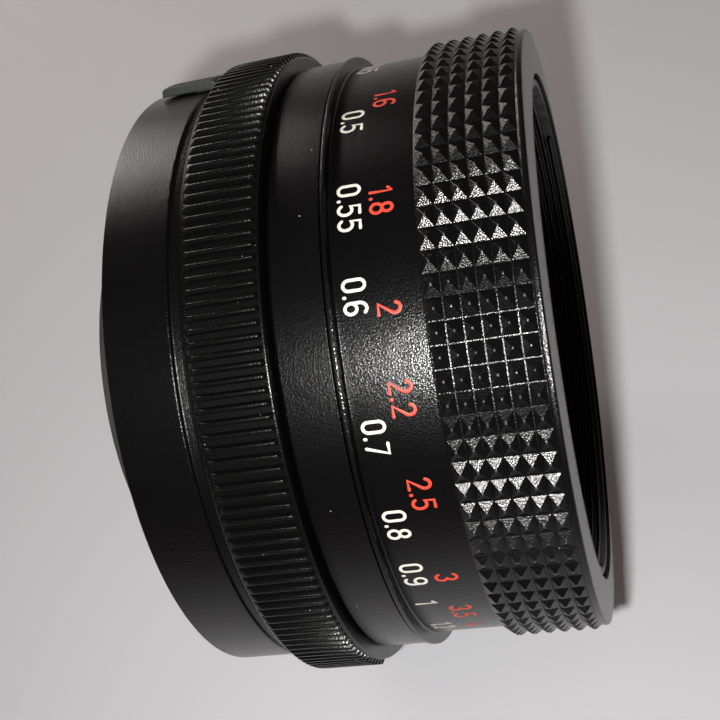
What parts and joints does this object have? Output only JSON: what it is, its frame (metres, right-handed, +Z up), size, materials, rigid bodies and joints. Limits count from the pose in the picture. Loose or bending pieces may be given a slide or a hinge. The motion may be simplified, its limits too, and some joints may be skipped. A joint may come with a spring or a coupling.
{
  "type": "prime camera lens",
  "caption": "Manual-focus prime lens with a screw mount, ribbed aperture ring, distance scale band, pyramid-knurled focus grip and working iris.",
  "frame": {"origin": "centre of the mount's flange face, on the optical axis", "axes": "+X along the optical axis towards the front of the lens; +Z up with the lens lying on its side"},
  "size_m": [0.0451, 0.0644, 0.0644],
  "materials": {
    "black_paint": "semi-gloss black enamel with a fine grain",
    "grip_black": "black enamel on machined pyramids, worn bright at the points",
    "ring_black": "satin black enamel on machined ribs",
    "black_anodised": "black anodised",
    "matte_black": "matte black",
    "bare_aluminium": "machined",
    "thread_metal": "grey anodised",
    "black_steel": "blackened",
    "steel": "ground",
    "blade_steel": "blued spring steel",
    "brass": "machined",
    "switch_black": "worn black",
    "coated_glass": "multicoated",
    "scale_white": "white engraving fill",
    "scale_orange": "orange-red engraving fill"
  },
  "bodies": {
    "base": {"rear_barrel": "black_paint", "mount_thread_ring": "thread_metal", "mount_screws": "black_steel", "rear_baffle": "matte_black", "baffle_screws": "black_steel", "fixed_sleeve": "black_anodised", "depth_scale_ring": "black_paint", "depth_ring_screws": "black_steel", "guide_keys": "brass", "key_screws": "steel", "click_ball": "steel", "click_spring": "steel", "pin_guide": "brass", "pin_spring": "steel"},
    "aperture_ring": {"aperture_ring": "ring_black", "aperture_cam": "brass", "aperture_drive_screw": "black_steel"},
    "mode_switch": {"mode_switch": "switch_black"},
    "stop_down_pin": {"stop_down_pin": "steel"},
    "lens_unit": {"lens_barrel": "black_anodised", "front_trim_ring": "matte_black", "front_cell": "matte_black", "front_element": "coated_glass", "second_element": "coated_glass", "third_element": "coated_glass", "front_retainer": "matte_black", "doublet_retainer": "matte_black", "iris_base": "bare_aluminium", "rear_cell": "black_anodised", "fourth_element": "coated_glass", "fifth_element": "coated_glass", "rear_element": "coated_glass", "rear_retainer": "matte_black", "rear_doublet_retainer": "matte_black"},
    "iris_drive": {"iris_drive_ring": "brass"},
    "focus_ring": {"focus_scale_ring": "black_paint", "focus_grip": "grip_black", "focus_helicoid": "bare_aluminium", "focus_ring_screws": "black_steel"},
    "blade_1": {"iris_blade_1": "blade_steel"},
    "blade_2": {"iris_blade_2": "blade_steel"},
    "blade_3": {"iris_blade_3": "blade_steel"},
    "blade_4": {"iris_blade_4": "blade_steel"},
    "blade_5": {"iris_blade_5": "blade_steel"},
    "blade_6": {"iris_blade_6": "blade_steel"}
  },
  "joints": [
    {"name": "focus_turn", "type": "hinge", "parent": "lens_unit", "child": "focus_ring", "pos_m": [0.03, 0, 0], "axis": [1, 0, 0], "range_deg": [0, 310]},
    {"name": "focus_slide", "type": "slide", "parent": "base", "child": "lens_unit", "axis": [1, 0, 0], "range_m": [0, 0.0115]},
    {"name": "aperture_turn", "type": "hinge", "parent": "base", "child": "aperture_ring", "pos_m": [0.012, 0, 0], "axis": [1, 0, 0], "range_deg": [0, 48]},
    {"name": "iris_turn", "type": "hinge", "parent": "lens_unit", "child": "iris_drive", "pos_m": [0.0097, 0, 0], "axis": [1, 0, 0], "range_deg": [0, 48]},
    {"name": "mode_shift", "type": "hinge", "parent": "base", "child": "mode_switch", "pos_m": [0.0055, 0, 0], "axis": [-1, 0, 0], "range_deg": [0, 8]},
    {"name": "pin_press", "type": "slide", "parent": "base", "child": "stop_down_pin", "axis": [1, 0, 0], "range_m": [0, 0.002], "stiffness_N_per_m": 300, "springref_m": -0.001, "deforming": ["pin_spring"]},
    {"name": "blade_1_turn", "type": "hinge", "parent": "lens_unit", "child": "blade_1", "pos_m": [0.0113, 0.0169, 0], "axis": [1, 0, 0], "range_deg": [0, 33]},
    {"name": "blade_2_turn", "type": "hinge", "parent": "lens_unit", "child": "blade_2", "pos_m": [0.0113, 0.00845, 0.01464], "axis": [1, 0, 0], "range_deg": [0, 33]},
    {"name": "blade_3_turn", "type": "hinge", "parent": "lens_unit", "child": "blade_3", "pos_m": [0.0113, -0.00845, 0.01464], "axis": [1, 0, 0], "range_deg": [0, 33]},
    {"name": "blade_4_turn", "type": "hinge", "parent": "lens_unit", "child": "blade_4", "pos_m": [0.0113, -0.0169, 0], "axis": [1, 0, 0], "range_deg": [0, 33]},
    {"name": "blade_5_turn", "type": "hinge", "parent": "lens_unit", "child": "blade_5", "pos_m": [0.0113, -0.00845, -0.01464], "axis": [1, 0, 0], "range_deg": [0, 33]},
    {"name": "blade_6_turn", "type": "hinge", "parent": "lens_unit", "child": "blade_6", "pos_m": [0.0113, 0.00845, -0.01464], "axis": [1, 0, 0], "range_deg": [0, 33]}
  ],
  "couplings": [
    {"joint": "focus_slide", "follows": "focus_turn", "m_per_rad": 0.002112},
    {"joint": "iris_turn", "follows": "aperture_turn", "ratio": 1},
    {"joint": "blade_1_turn", "follows": "aperture_turn", "ratio": 0.67917},
    {"joint": "blade_2_turn", "follows": "aperture_turn", "ratio": 0.67917},
    {"joint": "blade_3_turn", "follows": "aperture_turn", "ratio": 0.67917},
    {"joint": "blade_4_turn", "follows": "aperture_turn", "ratio": 0.67917},
    {"joint": "blade_5_turn", "follows": "aperture_turn", "ratio": 0.67917},
    {"joint": "blade_6_turn", "follows": "aperture_turn", "ratio": 0.67917}
  ]
}
